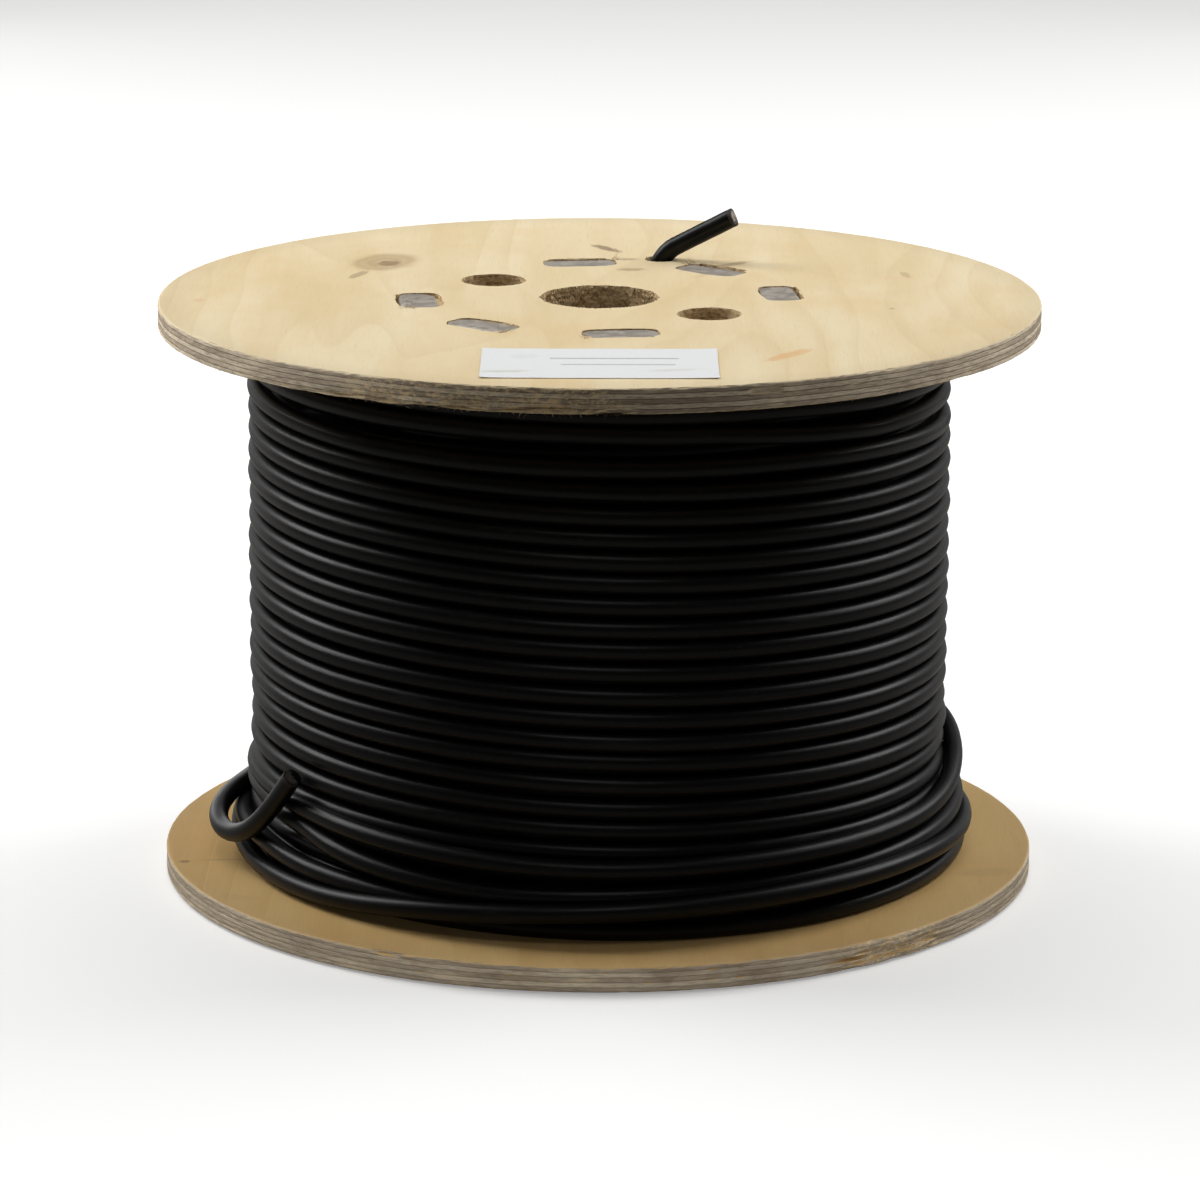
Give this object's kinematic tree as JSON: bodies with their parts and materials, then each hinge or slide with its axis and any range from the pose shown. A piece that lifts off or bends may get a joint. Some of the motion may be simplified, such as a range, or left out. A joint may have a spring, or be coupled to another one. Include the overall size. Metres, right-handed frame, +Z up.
{
  "type": "wooden cable drum",
  "caption": "Round plywood cable drum standing on its end, wound full of black cable, with a centre bore, driving holes and clinched steel barrel tabs.",
  "frame": {"origin": "centre of the lower flange's outer face, where the drum stands", "axes": "+Z up along the drum's axis; -Y towards the label; +X to the right of it"},
  "size_m": [0.25, 0.25, 0.182],
  "materials": {
    "plywood": "bare sanded softwood plywood, sawn edges",
    "sheet_steel": "dull galvanised sheet",
    "cable_jacket": "black extruded sheath, low sheen",
    "paper": "matt white paper label, blank"
  },
  "bodies": {
    "root": {"flange_bottom": "plywood", "flange_top": "plywood", "barrel": "sheet_steel", "winding": "cable_jacket", "cable_inner_end": "cable_jacket", "cable_outer_end": "cable_jacket", "label": "paper"}
  },
  "joints": []
}
